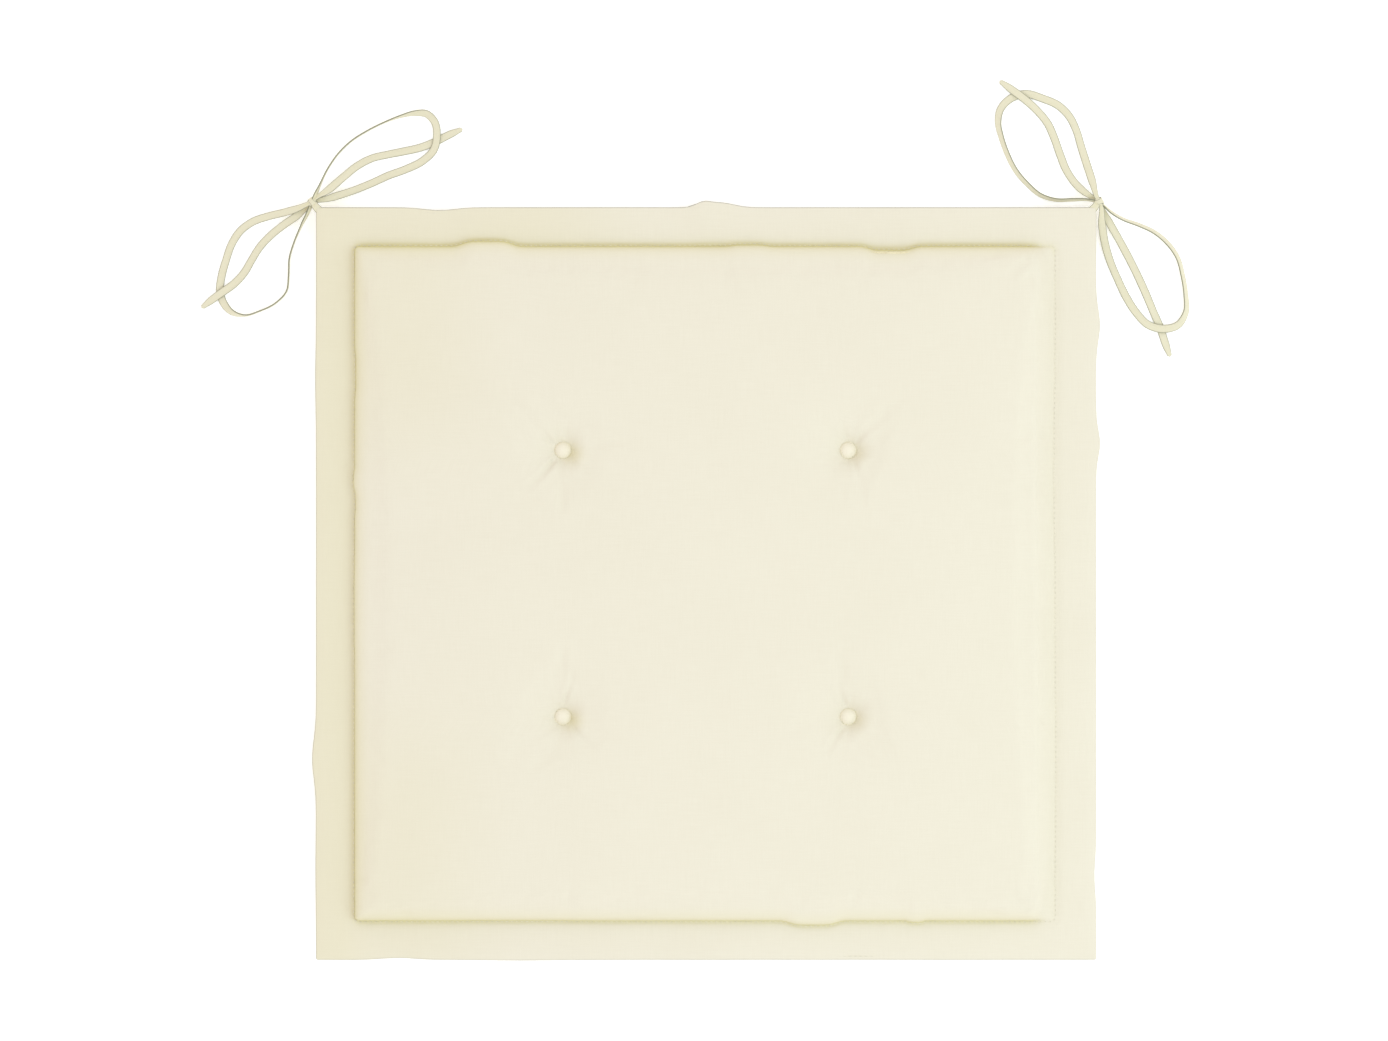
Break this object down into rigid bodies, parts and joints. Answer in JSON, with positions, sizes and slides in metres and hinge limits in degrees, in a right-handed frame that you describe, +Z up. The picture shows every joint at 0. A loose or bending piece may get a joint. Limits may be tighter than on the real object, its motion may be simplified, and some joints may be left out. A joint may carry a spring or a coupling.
{
  "type": "chair seat pad",
  "caption": "Flat square chair seat pad with a stitched flat border, four button tufts and tape ties knotted in a bow at each rear corner.",
  "frame": {"origin": "middle of the underside of the pad, on the surface that it lies on", "axes": "+X to the right along the rear edge, +Y towards the rear edge that carries the ties, +Z up out of the seating face"},
  "size_m": [0.6384, 0.5675, 0.03],
  "materials": {
    "cover_cloth": "matte",
    "tie_tape": "matte",
    "thread": "matte",
    "twine": "matte",
    "wadding": "matte",
    "foam": "matte",
    "button_metal": "satin"
  },
  "bodies": {
    "pad": {"cover_top_panel": "cover_cloth", "cover_bottom_panel": "cover_cloth", "wadding_top": "wadding", "wadding_bottom": "wadding", "foam_core": "foam", "border_stitch_upper_thread": "thread", "border_stitch_under_thread": "thread", "edge_seam_thread": "thread", "rear_left_top_button_cover": "cover_cloth", "rear_left_top_button_cap": "button_metal", "rear_left_top_button_back": "button_metal", "rear_left_tuft_twine": "twine", "rear_left_bottom_button_back": "button_metal", "rear_left_bottom_button_cap": "button_metal", "rear_left_bottom_button_cover": "cover_cloth", "rear_right_top_button_cover": "cover_cloth", "rear_right_top_button_cap": "button_metal", "rear_right_top_button_back": "button_metal", "rear_right_tuft_twine": "twine", "rear_right_bottom_button_back": "button_metal", "rear_right_bottom_button_cap": "button_metal", "rear_right_bottom_button_cover": "cover_cloth", "front_left_top_button_cover": "cover_cloth", "front_left_top_button_cap": "button_metal", "front_left_top_button_back": "button_metal", "front_left_tuft_twine": "twine", "front_left_bottom_button_back": "button_metal", "front_left_bottom_button_cap": "button_metal", "front_left_bottom_button_cover": "cover_cloth", "front_right_top_button_cover": "cover_cloth", "front_right_top_button_cap": "button_metal", "front_right_top_button_back": "button_metal", "front_right_tuft_twine": "twine", "front_right_bottom_button_back": "button_metal", "front_right_bottom_button_cap": "button_metal", "front_right_bottom_button_cover": "cover_cloth", "left_tape_sewn_end": "tie_tape", "right_tape_sewn_end": "tie_tape"},
    "left_bow": {"left_bow_knot": "tie_tape", "left_tape_rear_loop": "tie_tape", "left_tape_side_loop": "tie_tape"},
    "right_bow": {"right_bow_knot": "tie_tape", "right_tape_rear_loop": "tie_tape", "right_tape_side_loop": "tie_tape"}
  },
  "joints": [
    {"name": "left_bow_swing", "type": "hinge", "parent": "pad", "child": "left_bow", "pos_m": [-0.24912, 0.24062, 0.011], "axis": [0.7071, 0.7071, 0], "range_deg": [-90, 90]},
    {"name": "right_bow_swing", "type": "hinge", "parent": "pad", "child": "right_bow", "pos_m": [0.24912, 0.24062, 0.011], "axis": [0.7071, -0.7071, 0], "range_deg": [-90, 90]}
  ]
}
